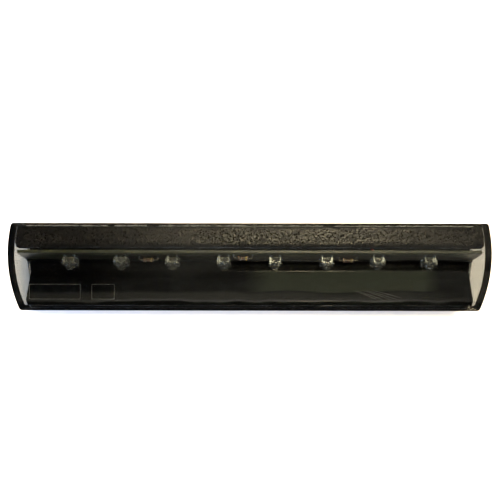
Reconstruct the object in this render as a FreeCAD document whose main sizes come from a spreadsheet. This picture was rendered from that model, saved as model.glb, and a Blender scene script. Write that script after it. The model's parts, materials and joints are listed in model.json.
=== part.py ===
import FreeCAD, Part
import math
import os
import re

import Sketcher

# A third brake light for the rear wall of a truck cap, lying on its back on its gasket.
# X runs along the lamp, +Y is the side that is up when it is mounted, and +Z is the way
# the clear face looks.  The origin is in the middle of the gasket's underside.  All in mm.

SIZES = {
    # Outline, seen from the face: straight long edges and one round arc at each end.
    "half_height": 23.25, "end_radius": 72.0, "end_centre_x": 56.55, "end_centre_y": 7.0,
    "corner_upper": 1.6, "corner_lower": 2.2,
    # Layers, from the gasket's underside to the face.
    "gasket_top": 1.6, "flange_top": 3.8, "lip_top": 5.0, "face_inside": 22.9, "face": 25.4,
    "gasket_inset": 0.8, "play": 0.15,
    # Lens walls, the rounding of its face and two plain frames moulded inside it.
    "wall_ends": 2.95, "wall_upper": 1.6, "wall_lower": 2.6, "face_rounding": 0.2,
    "frame_y": -13.4, "frame_height": 8.2, "frame_long_x": -104.0, "frame_long": 27.5,
    "frame_short_x": -78.2, "frame_short": 12.4, "frame_line": 0.45, "frame_relief": 0.3,
    # Locating lip of the base plate and the sealant bead between it and the lens.
    "bead": 0.6, "lip": 1.2,
    # Leaning circuit board: the LED row's place on its front and the board about that row.
    "row_y": 5.11, "row_z": 14.85, "lean": 17.0, "board_above": 8.0, "board_below": 6.0,
    "board_half": 124.9, "board_thick": 1.6,
    # LEDs: four-legged square lamps with a round dome.
    "led_pitch": 28.0, "led_side": 7.62, "led_corner": 1.0, "led_lift": 1.0, "led_depth": 4.0,
    "dome": 2.5, "leg_pitch": 5.08, "leg": 0.5, "leg_wide": 1.2, "leg_hole": 0.5,
    "tail": 0.8, "plate_low": 2.3, "plate_thick": 0.4, "plate_inner": 0.7, "plate_half": 3.1,
    # Reflector: floor, steep ramp, ledge under the face and skirt along the lower wall.
    "floor_top": 6.2, "ramp_foot": -3.2, "ramp_head": -18.2, "ledge": 22.4, "ramp_thick": 1.4,
    "skirt": 1.3, "seat_lip": 1.2, "seat_thick": 0.9, "reflector_play": 1.2,
    # Visor: grained plate under the face with a skirt behind, a front lip, ribs and posts.
    "visor_front": 9.7, "visor_top": 22.7, "visor_thick": 1.5, "visor_lip": 1.8,
    "visor_rounding": 0.8, "rib_thick": 1.4, "rib_high": 4.0, "rib_low": -3.0, "rib_back": 12.0,
    "post_y": 15.3, "post_radius": 3.0, "post_x": 98.0, "pilot": 1.45, "pilot_top": 13.8,
    # Bosses and brass inserts for the two mounting bolts, and webs that stiffen the ramp.
    "insert_x": 98.0, "insert_y": -14.9, "insert_radius": 3.2, "insert_bore": 2.5,
    "insert_top": 9.6, "boss_radius": 4.2, "boss_top": 10.8,
    "web_thick": 2.0, "web_front": -6.5, "web_back": -18.4, "web_root": 0.5, "web_pitch": 56.0,
    # Screws from below into the visor's posts.
    "head_radius": 3.0, "head_low": 0.2, "screw_top": 13.0, "drive": 1.1, "drive_deep": 0.8,
    "head_clear": 0.7,
    # Power inlet behind the board: a socket open downwards with two blades.
    "inlet_x": 56.0, "inlet_y": 12.6, "inlet_long": 19.0, "inlet_wide": 11.6,
    "inlet_top": 12.4, "inlet_wall": 1.7, "inlet_roof": 1.8, "rim": 1.6, "rim_thick": 1.2,
    "seal": 0.8, "blade_x": 3.9, "blade_wide": 6.3, "blade_thick": 0.8,
    "blade_low": 4.0, "blade_top": 18.6,
    # Components on the board and the wires behind it.
    "resistor_half": 3.1, "resistor_cap": 1.25, "resistor_waist": 1.05, "component_lift": 1.6,
    "wire": 0.3, "wire_hole": 0.45, "wire_bend": 0.8, "wire_run": 1.2,
    "cable": 0.8, "cable_up": 4.6, "cable_run": 3.2, "cable_bend": 3.0,
}

FUNCTIONS = ("sin", "cos", "tan")
POSTS = ("-post_x", "0", "post_x")
RIBS = ("-112", "-84", "-28", "28", "84", "112")
RESISTORS = {1: ("-55.6", "-0.6"), 2: ("-3.6", "3.2"), 3: ("54.0", "-1.0")}
V = FreeCAD.Vector

doc = FreeCAD.newDocument("brake_light")
sheet = doc.addObject("Spreadsheet::Sheet", "Size")
for row, (alias, number) in enumerate(SIZES.items(), start=1):
    sheet.set(f"A{row}", alias)
    sheet.set(f"B{row}", str(number))
    sheet.setAlias(f"B{row}", alias)
doc.recompute()


# ---- Formulas -------------------------------------------------------------------------

def bound(formula):
    """The formula with the sheet's name before each named size."""
    def full(match):
        return match.group() if match.group() in FUNCTIONS else "Size." + match.group()
    return re.sub(r"[a-z][a-z_]+", full, formula)


def number(formula):
    """What the formula comes to with the sheet's present sizes."""
    return float(doc.getObject("Size").evalExpression(bound(formula)))


def bind(thing, **formulas):
    """Tie properties of one object to formulas; a double underscore stands for a dot."""
    for name, formula in formulas.items():
        thing.setExpression(name.replace("__", "."), bound(formula))


def on_board(up, out):
    """Y and Z of a point above the LED row by up and in front of the board by out."""
    return (f"row_y + ({up}) * sin(lean) - ({out}) * cos(lean)",
            f"row_z + ({up}) * cos(lean) + ({out}) * sin(lean)")


def under_ramp(across):
    """Height of the ramp's underside at one place across the lamp."""
    rise = "(ledge - floor_top) / (ramp_foot - ramp_head)"
    return f"floor_top + (ramp_foot - ({across})) * {rise} - ramp_thick * (1 + ({rise})^2)^0.5"


def at_underside(height):
    """The place across the lamp where the ramp's underside is at one height."""
    rise = "(ledge - floor_top) / (ramp_foot - ramp_head)"
    drop = f"ramp_thick * (1 + ({rise})^2)^0.5"
    return f"ramp_foot - ({height} - floor_top + {drop}) / ({rise})"


# ---- Sketches -------------------------------------------------------------------------

def body_of(label):
    body = doc.addObject("PartDesign::Body", label)
    body.Label = label
    return body


def sketch_on(body, role, name, lift="0"):
    """A sketch on one of the body's own origin planes, moved along its normal."""
    plane = next(item for item in body.Origin.OriginFeatures if item.Role == role)
    sketch = body.newObject("Sketcher::SketchObject", f"{body.Name}_{name}")
    sketch.AttachmentSupport = [(plane, "")]
    sketch.MapMode = "FlatFace"
    bind(sketch, AttachmentOffset__Base__z=lift)
    return sketch


def tie(sketch, kind, where, formula):
    index = sketch.addConstraint(Sketcher.Constraint(kind, *where, number(formula)))
    sketch.setExpression(f"Constraints[{index}]", bound(formula))


def place(sketch, item, point, across, up):
    """Hold one point of a sketch item at its distances from the sketch's origin."""
    tie(sketch, "DistanceX", (-1, 1, item, point), across)
    tie(sketch, "DistanceY", (-1, 1, item, point), up)


def polygon(sketch, corners):
    spots = [V(number(across), number(up), 0) for across, up in corners]
    sides = [Part.LineSegment(a, b) for a, b in zip(spots, spots[1:] + spots[:1])]
    lines = sketch.addGeometry(sides, False)
    for line, follower, corner in zip(lines, lines[1:] + lines[:1], corners):
        sketch.addConstraint(Sketcher.Constraint("Coincident", line, 2, follower, 1))
        place(sketch, line, 1, *corner)


def rectangle(sketch, across, up, long, high):
    left, right = f"{across} - ({long}) / 2", f"{across} + ({long}) / 2"
    low, top = f"{up} - ({high}) / 2", f"{up} + ({high}) / 2"
    polygon(sketch, [(left, low), (right, low), (right, top), (left, top)])


def circle(sketch, across, up, radius):
    middle = V(number(across), number(up), 0)
    item = sketch.addGeometry(Part.Circle(middle, V(0, 0, 1), number(radius)), False)
    place(sketch, item, 3, across, up)
    tie(sketch, "Radius", (item,), radius)


def lamp_outline(sketch, ends="0", upper="0", lower="0"):
    """The lamp's outline, drawn inside itself by a distance at the ends and long edges.

    Each end is one arc about (end_centre_x, end_centre_y).  A small tangent arc joins it
    to each long edge, so a corner's centre is on a circle of radius end - corner.
    """
    end = f"end_radius - ({ends})"
    centre = V(number("end_centre_x"), number("end_centre_y"), 0)
    upright = V(0, 0, 1)

    def corner(side, inset, name):
        small = f"{name} / (1 + ({inset}) / 4)"
        edge = side * number(f"half_height - ({inset})")
        reach = number(end) - number(small)
        middle_y = edge - side * number(small)
        middle = V(centre.x + math.sqrt(reach**2 - (middle_y - centre.y)**2), middle_y, 0)
        turn = math.atan2(middle_y - centre.y, middle.x - centre.x)
        return small, middle, turn, V(middle.x, edge, 0)

    def left(point):
        return V(-point.x, point.y, 0)

    def arc(middle, formula, start, stop):
        return Part.ArcOfCircle(Part.Circle(middle, upright, number(formula)), start, stop)

    small_up, up, turn_up, meet_up = corner(1, upper, "corner_upper")
    small_low, low, turn_low, meet_low = corner(-1, lower, "corner_lower")
    quarter = math.pi / 2
    items = sketch.addGeometry([
        arc(centre, end, turn_low, turn_up),
        arc(up, small_up, turn_up, quarter),
        Part.LineSegment(meet_up, left(meet_up)),
        arc(left(up), small_up, quarter, math.pi - turn_up),
        arc(left(centre), end, math.pi - turn_up, math.pi - turn_low),
        arc(left(low), small_low, math.pi - turn_low, 3 * quarter),
        Part.LineSegment(left(meet_low), meet_low),
        arc(low, small_low, 3 * quarter, 2 * math.pi + turn_low),
    ], False)
    for item, follower in zip(items, items[1:] + items[:1]):
        sketch.addConstraint(Sketcher.Constraint("Tangent", item, 2, follower, 1))
    radii = (end, small_up, None, small_up, end, small_low, None, small_low)
    for item, radius in zip(items, radii):
        if radius:
            tie(sketch, "Radius", (item,), radius)
    place(sketch, items[0], 3, "end_centre_x", "end_centre_y")
    place(sketch, items[4], 3, "-end_centre_x", "end_centre_y")
    for line, height in ((items[2], f"half_height - ({upper})"),
                         (items[6], f"({lower}) - half_height")):
        sketch.addConstraint(Sketcher.Constraint("Horizontal", line))
        tie(sketch, "DistanceY", (-1, 1, line, 1), height)


def inside_lens(sketch, extra="0", ends=None):
    """The lens's inner outline, drawn in by an extra distance, which may differ at the ends."""
    lamp_outline(sketch, f"wall_ends + {ends or extra}", f"wall_upper + {extra}",
                 f"wall_lower + {extra}")


# ---- Features -------------------------------------------------------------------------

def pad(body, sketch, length, midplane=False, backwards=False):
    feature = body.newObject("PartDesign::Pad", sketch.Name + "_pad")
    feature.Profile = sketch
    feature.Reversed = backwards
    if midplane:
        feature.SideType = "Symmetric"
    bind(feature, Length=length)
    doc.recompute()
    return feature


def pocket(body, sketch, depth, upwards=True):
    """Cut the sketch away, and stop where the cut takes nothing."""
    before = body.Shape.Volume
    feature = body.newObject("PartDesign::Pocket", sketch.Name + "_cut")
    feature.Profile = sketch
    feature.Reversed = upwards
    bind(feature, Length=depth)
    doc.recompute()
    if body.Shape.Volume > before - 1e-4:
        raise RuntimeError(f"{feature.Name} cuts nothing")
    return feature


def trim_to_lens(body, ends="play"):
    """Cut off whatever stands outside the room inside the lens, less the play at the ends."""
    ring = sketch_on(body, "XY_Plane", "trim")
    rectangle(ring, "0", "0", "3 * end_radius + 3 * end_centre_x", "3 * half_height")
    inside_lens(ring, "play", ends)
    pocket(body, ring, "face + half_height")


def edges_where(shape, test):
    return [f"Edge{k}" for k, edge in enumerate(shape.Edges, start=1) if test(edge.BoundBox)]


def fillet(body, edges, radius):
    base = body.Tip
    feature = body.newObject("PartDesign::Fillet", body.Name + "_fillet")
    feature.Base = (base, edges)
    bind(feature, Radius=radius)
    doc.recompute()
    return feature


def lean_on_board(thing, across="0"):
    """Place a piece drawn with x along the lamp, y up the board and z out of its front."""
    thing.Placement = FreeCAD.Placement(V(0, 0, 0), FreeCAD.Rotation(V(1, 0, 0), 45))
    bind(thing, Placement__Base__x=across, Placement__Base__y="row_y",
         Placement__Base__z="row_z", Placement__Rotation__Angle="90 - lean")


def bent_wire(body, start, height, radius, run, bend, stop, side=1):
    """Round wire along the board from start, then a bend to z = stop, drawn in the XZ plane."""
    down = -1 if number(stop) < number(height) else 1
    path = sketch_on(body, "XZ_Plane", "path")
    turn_x = f"{start} + {side} * ({run})"
    far_x = f"{start} + {side} * ({run} + {bend})"
    near_z = f"{height} + {down} * ({bend})"
    first = V(number(start), number(height), 0)
    second = V(number(turn_x), number(height), 0)
    third = V(number(far_x), number(near_z), 0)
    last = V(number(far_x), number(stop), 0)
    middle = V(second.x, third.y, 0)
    half = math.sqrt(0.5) * number(bend)
    between = middle + V(side * half, -down * half, 0)
    items = path.addGeometry([
        Part.LineSegment(first, second),
        Part.Arc(second, between, third),
        Part.LineSegment(third, last)], False)
    starts_first = path.getPoint(items[1], 1).isEqual(second, 1e-6)
    near, far = (1, 2) if starts_first else (2, 1)
    path.addConstraint(Sketcher.Constraint("Tangent", items[0], 2, items[1], near))
    path.addConstraint(Sketcher.Constraint("Tangent", items[1], far, items[2], 1))
    tie(path, "Radius", (items[1],), bend)
    place(path, items[0], 1, start, height)
    path.addConstraint(Sketcher.Constraint("Horizontal", items[0]))
    place(path, items[2], 2, far_x, stop)
    ring = sketch_on(body, "YZ_Plane", "ring", start)
    circle(ring, "0", height, radius)
    pipe = body.newObject("PartDesign::AdditivePipe", body.Name + "_pipe")
    pipe.Profile = ring
    pipe.Spine = (path, ["Edge1", "Edge2", "Edge3"])
    doc.recompute()


# ---- Shell: lens, base plate, sealant and gasket --------------------------------------

def make_lens():
    """Clear box, open at the back, with a flat face and two plain frames moulded inside."""
    body = body_of("lens")
    outside = sketch_on(body, "XY_Plane", "outside", "flange_top")
    lamp_outline(outside)
    pad(body, outside, "face - flange_top")
    room = sketch_on(body, "XY_Plane", "room", "flange_top")
    inside_lens(room)
    pocket(body, room, "face_inside - flange_top")
    frames = sketch_on(body, "XY_Plane", "frames", "face_inside")
    for across, long in (("frame_long_x", "frame_long"), ("frame_short_x", "frame_short")):
        rectangle(frames, across, "frame_y", long, "frame_height")
        rectangle(frames, across, "frame_y", f"{long} - 2 * frame_line",
                  "frame_height - 2 * frame_line")
    pad(body, frames, "frame_relief", backwards=True)
    top = number("face")
    edges = edges_where(body.Shape, lambda box: box.ZMin > top - 0.01)
    fillet(body, edges, "face_rounding")
    return body


def make_base_plate():
    """Flat plate with a lip inside the lens wall and a boss for each threaded insert."""
    body = body_of("base_plate")
    plate = sketch_on(body, "XY_Plane", "plate", "gasket_top")
    lamp_outline(plate)
    pad(body, plate, "flange_top - gasket_top")
    lip = sketch_on(body, "XY_Plane", "lip", "flange_top")
    inside_lens(lip, "bead")
    inside_lens(lip, "bead + lip")
    pad(body, lip, "lip_top - flange_top")
    bosses = sketch_on(body, "XY_Plane", "bosses", "flange_top")
    bores = sketch_on(body, "XY_Plane", "bores", "gasket_top")
    for across in ("-insert_x", "insert_x"):
        circle(bosses, across, "insert_y", "boss_radius")
        circle(bores, across, "insert_y", "insert_radius")
    pad(body, bosses, "boss_top - flange_top")
    pocket(body, bores, "insert_top - gasket_top")
    holes = sketch_on(body, "XY_Plane", "holes", "gasket_top")
    for across in POSTS:
        circle(holes, across, "post_y", "pilot + play")
    rectangle(holes, "inlet_x", "inlet_y", "inlet_long", "inlet_wide")
    pocket(body, holes, "flange_top - gasket_top")
    return body


def make_sealant_bead():
    """Thin ring that fills the gap between the base plate's lip and the lens wall."""
    body = body_of("sealant_bead")
    ring = sketch_on(body, "XY_Plane", "ring", "flange_top")
    inside_lens(ring)
    inside_lens(ring, "bead")
    pad(body, ring, "lip_top - flange_top")
    return body


def make_gasket():
    """Foam sheet under the base plate, cut out for the inserts, screws and inlet."""
    body = body_of("mounting_gasket")
    sheet_sketch = sketch_on(body, "XY_Plane", "sheet")
    lamp_outline(sheet_sketch, "gasket_inset", "gasket_inset", "gasket_inset")
    for across in ("-insert_x", "insert_x"):
        circle(sheet_sketch, across, "insert_y", "insert_radius + head_clear")
    for across in POSTS:
        circle(sheet_sketch, across, "post_y", "head_radius + head_clear")
    rectangle(sheet_sketch, "inlet_x", "inlet_y", "inlet_long + 1", "inlet_wide + 1")
    pad(body, sheet_sketch, "gasket_top")
    return body


# ---- Inside: reflector and visor ------------------------------------------------------

def make_reflector():
    """Black moulding: board seat, floor, ramp, ledge and skirt in one section, and three webs."""
    body = body_of("reflector")
    section = sketch_on(body, "YZ_Plane", "section")
    foot = "((floor_top - row_z - seat_thick * sin(lean)) / cos(lean))"
    wall = "wall_lower + play - half_height"
    back_y, back_z = on_board("-board_below", "-board_thick")
    polygon(section, [
        on_board("seat_lip - board_below", "seat_thick"),
        on_board("seat_lip - board_below", "0"),
        on_board("-board_below", "0"),
        (back_y, back_z),
        (back_y, "lip_top"),
        (at_underside("lip_top"), "lip_top"),
        (at_underside("ledge - ramp_thick"), "ledge - ramp_thick"),
        (f"{wall} + skirt", "ledge - ramp_thick"),
        (f"{wall} + skirt", "lip_top"),
        (wall, "lip_top"),
        (wall, "ledge"),
        ("ramp_head", "ledge"),
        ("ramp_foot", "floor_top"),
        (on_board(foot, "seat_thick")[0], "floor_top"),
    ])
    pad(body, section, "4 * end_radius", midplane=True)
    for count in (-1, 0, 1):
        web = sketch_on(body, "YZ_Plane", f"web_{count + 2}", f"{count} * web_pitch")
        tops = [(across, under_ramp(across) + " + web_root") for across in ("web_front", "web_back")]
        polygon(web, [("web_front", "flange_top"), *tops, ("web_back", "flange_top")])
        pad(body, web, "web_thick", midplane=True)
    trim_to_lens(body, "reflector_play")
    return body


def make_visor():
    """Grained black cover over the board's back, with ribs behind it and screw posts."""
    body = body_of("visor")
    section = sketch_on(body, "YZ_Plane", "section")
    back = "half_height - wall_upper - play"
    under = "visor_top - visor_thick"
    polygon(section, [
        ("visor_front", "visor_top"),
        (back, "visor_top"),
        (back, "lip_top"),
        (f"{back} - skirt", "lip_top"),
        (f"{back} - skirt", under),
        ("visor_front + skirt", under),
        ("visor_front + skirt", f"{under} - visor_lip"),
        ("visor_front", f"{under} - visor_lip"),
    ])
    pad(body, section, "4 * end_radius", midplane=True)
    for count, across in enumerate(RIBS, start=1):
        rib = sketch_on(body, "YZ_Plane", f"rib_{count}", across)
        polygon(rib, [
            on_board("rib_high", "-board_thick"),
            ("visor_front + skirt / 2", f"{under} + 0.1"),
            (f"{back} - skirt / 2", f"{under} + 0.1"),
            (f"{back} - skirt / 2", "rib_back"),
            on_board("rib_low", "-board_thick"),
        ])
        pad(body, rib, "rib_thick", midplane=True)
    posts = sketch_on(body, "XY_Plane", "posts", "flange_top")
    pilots = sketch_on(body, "XY_Plane", "pilots", "flange_top")
    for across in POSTS:
        circle(posts, across, "post_y", "post_radius")
        circle(pilots, across, "post_y", "pilot")
    pad(body, posts, f"{under} + 0.1 - flange_top")
    pocket(body, pilots, "pilot_top - flange_top")
    trim_to_lens(body)
    front, top = number("visor_front"), number("visor_top")
    edges = edges_where(body.Shape, lambda box: abs(box.YMax - front) < 0.01
                        and abs(box.ZMin - top) < 0.01)
    fillet(body, edges, "visor_rounding")
    return body


# ---- Circuit board, LEDs and components -----------------------------------------------

def led_place(count):
    return f"{count - 4.5} * led_pitch"


def make_circuit_board():
    """Narrow board with a hole for each LED leg and each component wire."""
    body = body_of("circuit_board")
    face = sketch_on(body, "XY_Plane", "face")
    polygon(face, [("-board_half", "-board_below"), ("board_half", "-board_below"),
                   ("board_half", "board_above"), ("-board_half", "board_above")])
    pad(body, face, "board_thick", backwards=True)
    legs = sketch_on(body, "XY_Plane", "legs")
    for side in ("-", ""):
        for level in ("-", ""):
            circle(legs, f"{led_place(1)} + {side}leg_pitch / 2", f"{level}leg_pitch / 2", "leg_hole")
    first = pocket(body, legs, "board_thick", upwards=False)
    row = body.newObject("PartDesign::LinearPattern", "led_holes")
    row.Originals = [first]
    row.Direction = (legs, ["H_Axis"])
    row.Occurrences = 8
    bind(row, Length="7 * led_pitch")
    body.Tip = row
    doc.recompute()
    wires = sketch_on(body, "XY_Plane", "wires")
    for across, up in RESISTORS.values():
        for side in (-1, 1):
            circle(wires, f"{across} + {side} * (resistor_half + wire_run + wire_bend)", up, "wire_hole")
    pocket(body, wires, "board_thick", upwards=False)
    lean_on_board(body)
    return body


def make_led(count):
    """Clear epoxy block with one clipped corner, a round dome and room for its leads."""
    body = body_of(f"led_{count}")
    half = "led_side / 2"
    block = sketch_on(body, "XY_Plane", "block", "led_lift")
    polygon(block, [(f"-{half}", f"-{half}"), (half, f"-{half}"), (half, f"{half} - led_corner"),
                    (f"{half} - led_corner", half), (f"-{half}", half)])
    pad(body, block, "led_depth")
    dome = body.newObject("PartDesign::AdditiveSphere", f"led_{count}_dome")
    dome.AttachmentSupport = block.AttachmentSupport
    dome.MapMode = "FlatFace"
    bind(dome, AttachmentOffset__Base__z="led_lift + led_depth", Radius="dome")
    dome.Angle1 = 0
    dome.Angle2 = 90
    doc.recompute()
    legs = sketch_on(body, "XY_Plane", "legs", "led_lift")
    plates = sketch_on(body, "XY_Plane", "plates", "led_lift + plate_low")
    for side in (-1, 1):
        for level in (-1, 1):
            rectangle(legs, f"{side} * leg_pitch / 2", f"{level} * leg_pitch / 2", "leg_wide", "leg")
        rectangle(plates, *lead_plate(side))
    pocket(body, legs, "plate_low")
    pocket(body, plates, "plate_thick")
    lean_on_board(body, led_place(count))
    return body


def lead_plate(side):
    """Middle, length and height of the flat of a lead inside the LED."""
    outer = "leg_pitch / 2 + leg_wide / 2"
    return f"{side} * (plate_inner + {outer}) / 2", "0", f"{outer} - plate_inner", "2 * plate_half"


def make_led_lead(count, side, label):
    """One lead of an LED: a flat inside the epoxy and two shouldered legs through the board."""
    body = body_of(label)
    plate = sketch_on(body, "XY_Plane", "plate", "led_lift + plate_low")
    rectangle(plate, *lead_plate(side))
    pad(body, plate, "plate_thick")
    shoulders = sketch_on(body, "XY_Plane", "shoulders")
    tails = sketch_on(body, "XY_Plane", "tails", "-board_thick - tail")
    for level in (-1, 1):
        middle = (f"{side} * leg_pitch / 2", f"{level} * leg_pitch / 2")
        rectangle(shoulders, *middle, "leg_wide", "leg")
        rectangle(tails, *middle, "leg", "leg")
    pad(body, shoulders, "led_lift + plate_low")
    pad(body, tails, "board_thick + tail")
    lean_on_board(body, led_place(count))
    return body


def turned(body, corners):
    """Solid turned about x from a half section of (along, radius) corners."""
    half = sketch_on(body, "XY_Plane", "half")
    polygon(half, corners)
    feature = body.newObject("PartDesign::Revolution", body.Name + "_turned")
    feature.Profile = half
    feature.ReferenceAxis = (half, ["H_Axis"])
    feature.Angle = 360
    doc.recompute()


def make_resistor(count, across, up):
    """Resistor body with a fatter cap at each end."""
    body = body_of(f"resistor_{count}")
    end, cap, waist = "resistor_half", "resistor_cap", "resistor_waist"
    turned(body, [
        (f"-{end}", "0"), (f"-{end}", waist), (f"-{end} + 0.2", cap), (f"-{end} + 1.1", cap),
        (f"-{end} + 1.3", waist), (f"{end} - 1.3", waist), (f"{end} - 1.1", cap),
        (f"{end} - 0.2", cap), (end, waist), (end, "0"),
    ])
    lean_on_board(body, across)
    move_on_board(body, up, "component_lift")
    return body


def move_on_board(thing, up, out):
    """Shift a leaning piece up the board and out of its front."""
    across_y, height_z = on_board(up, out)
    bind(thing, Placement__Base__y=across_y, Placement__Base__z=height_z)


def make_wires(label, half, across, up):
    """The two bent wires of a component, from its ends through the board."""
    ends = []
    for side, hand in ((-1, "left"), (1, "right")):
        wire = body_of(f"{label}_{hand}")
        bent_wire(wire, f"{side} * {half}", "0", "wire", "wire_run", "wire_bend",
                  "-component_lift - board_thick - tail", side)
        ends.append(wire)
    pair = doc.addObject("Part::Compound", label)
    pair.Label = label
    pair.Links = ends
    lean_on_board(pair, across)
    move_on_board(pair, up, "component_lift")
    return pair


# ---- Fasteners ------------------------------------------------------------------------

def make_insert(label, across):
    """Brass insert, open downwards, for a mounting bolt."""
    body = body_of(label)
    ring = sketch_on(body, "XY_Plane", "ring", "gasket_top")
    circle(ring, across, "insert_y", "insert_radius")
    circle(ring, across, "insert_y", "insert_bore")
    pad(body, ring, "insert_top - gasket_top")
    return body


def make_screw(count, across):
    """Screw from below into a visor post, with a square drive recess in its head."""
    body = body_of(f"visor_screw_{count}")
    head = sketch_on(body, "XY_Plane", "head", "head_low")
    circle(head, across, "post_y", "head_radius")
    pad(body, head, "gasket_top - head_low")
    shank = sketch_on(body, "XY_Plane", "shank", "gasket_top")
    circle(shank, across, "post_y", "pilot")
    pad(body, shank, "screw_top - gasket_top")
    recess = sketch_on(body, "XY_Plane", "recess", "head_low")
    rectangle(recess, across, "post_y", "2 * drive", "2 * drive")
    pocket(body, recess, "drive_deep")
    return body


# ---- Power inlet ----------------------------------------------------------------------

def make_inlet_socket():
    """Open-bottomed plug housing with a rim that rests on the seal."""
    body = body_of("inlet_socket")
    outside = sketch_on(body, "XY_Plane", "outside", "gasket_top")
    rectangle(outside, "inlet_x", "inlet_y", "inlet_long", "inlet_wide")
    pad(body, outside, "inlet_top - gasket_top")
    rim = sketch_on(body, "XY_Plane", "rim", "flange_top + seal")
    rectangle(rim, "inlet_x", "inlet_y", "inlet_long + 2 * rim", "inlet_wide + rim")
    pad(body, rim, "rim_thick")
    room = sketch_on(body, "XY_Plane", "room", "gasket_top")
    rectangle(room, "inlet_x", "inlet_y", "inlet_long - 2 * inlet_wall", "inlet_wide - 2 * inlet_wall")
    pocket(body, room, "inlet_top - inlet_roof - gasket_top")
    slots = sketch_on(body, "XY_Plane", "slots", "inlet_top - inlet_roof")
    for side in (-1, 1):
        rectangle(slots, f"inlet_x + {side} * blade_x", "inlet_y", "blade_thick", "blade_wide")
    pocket(body, slots, "inlet_roof")
    return body


def make_inlet_seal():
    """Flat rubber ring between the socket's rim and the base plate."""
    body = body_of("inlet_seal")
    ring = sketch_on(body, "XY_Plane", "ring", "flange_top")
    rectangle(ring, "inlet_x", "inlet_y", "inlet_long + 2 * rim", "inlet_wide + rim")
    rectangle(ring, "inlet_x", "inlet_y", "inlet_long", "inlet_wide")
    pad(body, ring, "seal")
    return body


def make_blade(label, side):
    """Flat contact blade through the socket's roof."""
    body = body_of(label)
    section = sketch_on(body, "XY_Plane", "section", "blade_low")
    rectangle(section, f"inlet_x + {side} * blade_x", "inlet_y", "blade_thick", "blade_wide")
    pad(body, section, "blade_top - blade_low")
    return body


def make_cable(label, side):
    """Short insulated wire from a blade's side round to the back of the board."""
    body = body_of(label)
    start = f"{side} * (blade_x + blade_thick / 2)"
    depth = "(inlet_y - row_y - cable_up * sin(lean)) / cos(lean)"
    bent_wire(body, start, f"-({depth})", "cable", "cable_run", "cable_bend", "-board_thick", side)
    lean_on_board(body, "inlet_x")
    move_on_board(body, "cable_up", "0")
    return body


def make_all():
    pieces = [make_lens(), make_base_plate(), make_sealant_bead(), make_gasket(),
              make_reflector(), make_visor(), make_circuit_board()]
    for count in range(1, 9):
        pieces.append(make_led(count))
        pieces.append(make_led_lead(count, -1, f"led_{count}_anode"))
        pieces.append(make_led_lead(count, 1, f"led_{count}_cathode"))
    for count, (across, up) in RESISTORS.items():
        pieces.append(make_resistor(count, across, up))
        pieces.append(make_wires(f"resistor_{count}_wires", "resistor_half", across, up))
    for count, across in enumerate(POSTS, start=1):
        pieces.append(make_screw(count, across))
    pieces += [make_insert("threaded_insert_left", "-insert_x"),
               make_insert("threaded_insert_right", "insert_x"),
               make_inlet_socket(), make_inlet_seal(),
               make_blade("inlet_blade_negative", -1), make_blade("inlet_blade_positive", 1),
               make_cable("lead_negative", -1), make_cable("lead_positive", 1)]
    return pieces


pieces = make_all()
doc.recompute()
for thing in doc.Objects:
    if "Invalid" in thing.State or "Error" in thing.State:
        raise RuntimeError(f"{thing.Label} failed: {thing.State}")
for piece in pieces:
    if piece.Shape.isNull() or not piece.Shape.isValid():
        raise RuntimeError(f"{piece.Label} has no valid shape")

os.makedirs("parts", exist_ok=True)
for piece in pieces:
    piece.Shape.exportStep(f"parts/{piece.Label}.step")
    print(f"{piece.Label}: {len(piece.Shape.Solids)} solid, {piece.Shape.Volume:.1f} mm3")
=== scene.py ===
"""Third brake light: a clear lens over a grained black visor, a row of clear LEDs and a gloss
black sloped reflector.  Metres, lying on its back: X along the lamp, +Y its upper edge, +Z the
way its face looks.  Sizes below are in millimetres until mm() turns them into metres."""
import json
import math

import bpy
import numpy as np
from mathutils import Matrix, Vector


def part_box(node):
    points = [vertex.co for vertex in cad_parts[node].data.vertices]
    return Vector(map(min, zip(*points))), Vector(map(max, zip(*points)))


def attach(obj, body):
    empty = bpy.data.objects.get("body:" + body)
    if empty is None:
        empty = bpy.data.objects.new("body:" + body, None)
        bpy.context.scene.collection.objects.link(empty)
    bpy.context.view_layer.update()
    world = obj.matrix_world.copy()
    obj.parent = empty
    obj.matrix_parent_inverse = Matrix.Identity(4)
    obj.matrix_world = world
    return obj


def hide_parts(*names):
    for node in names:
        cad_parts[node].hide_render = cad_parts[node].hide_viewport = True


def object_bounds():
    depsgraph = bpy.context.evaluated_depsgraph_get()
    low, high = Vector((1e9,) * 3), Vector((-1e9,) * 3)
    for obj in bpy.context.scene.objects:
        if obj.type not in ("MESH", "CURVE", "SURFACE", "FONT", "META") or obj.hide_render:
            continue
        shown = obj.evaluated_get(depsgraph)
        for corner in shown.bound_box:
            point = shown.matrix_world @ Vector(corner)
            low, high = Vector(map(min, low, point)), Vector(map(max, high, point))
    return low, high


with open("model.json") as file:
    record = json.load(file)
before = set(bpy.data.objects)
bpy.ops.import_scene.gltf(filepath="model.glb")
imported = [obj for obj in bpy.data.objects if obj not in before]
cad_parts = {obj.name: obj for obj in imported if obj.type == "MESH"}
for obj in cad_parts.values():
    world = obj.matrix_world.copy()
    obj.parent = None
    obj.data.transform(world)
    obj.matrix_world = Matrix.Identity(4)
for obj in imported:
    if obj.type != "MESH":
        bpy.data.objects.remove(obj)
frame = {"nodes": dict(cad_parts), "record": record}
cad_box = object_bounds()

MM = 0.001
LEAN = math.radians(17)      # the circuit board leans back from upright
SEED = 7

# ---- Places read from the frame --------------------------------------------------------


def box_mm(node):
    """Lowest and highest corner of a CAD node."""
    low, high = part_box(node)
    return np.array(low) / MM, np.array(high) / MM


def middle_mm(node):
    """Middle of a CAD node's box."""
    low, high = box_mm(node)
    return (low + high) / 2


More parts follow.
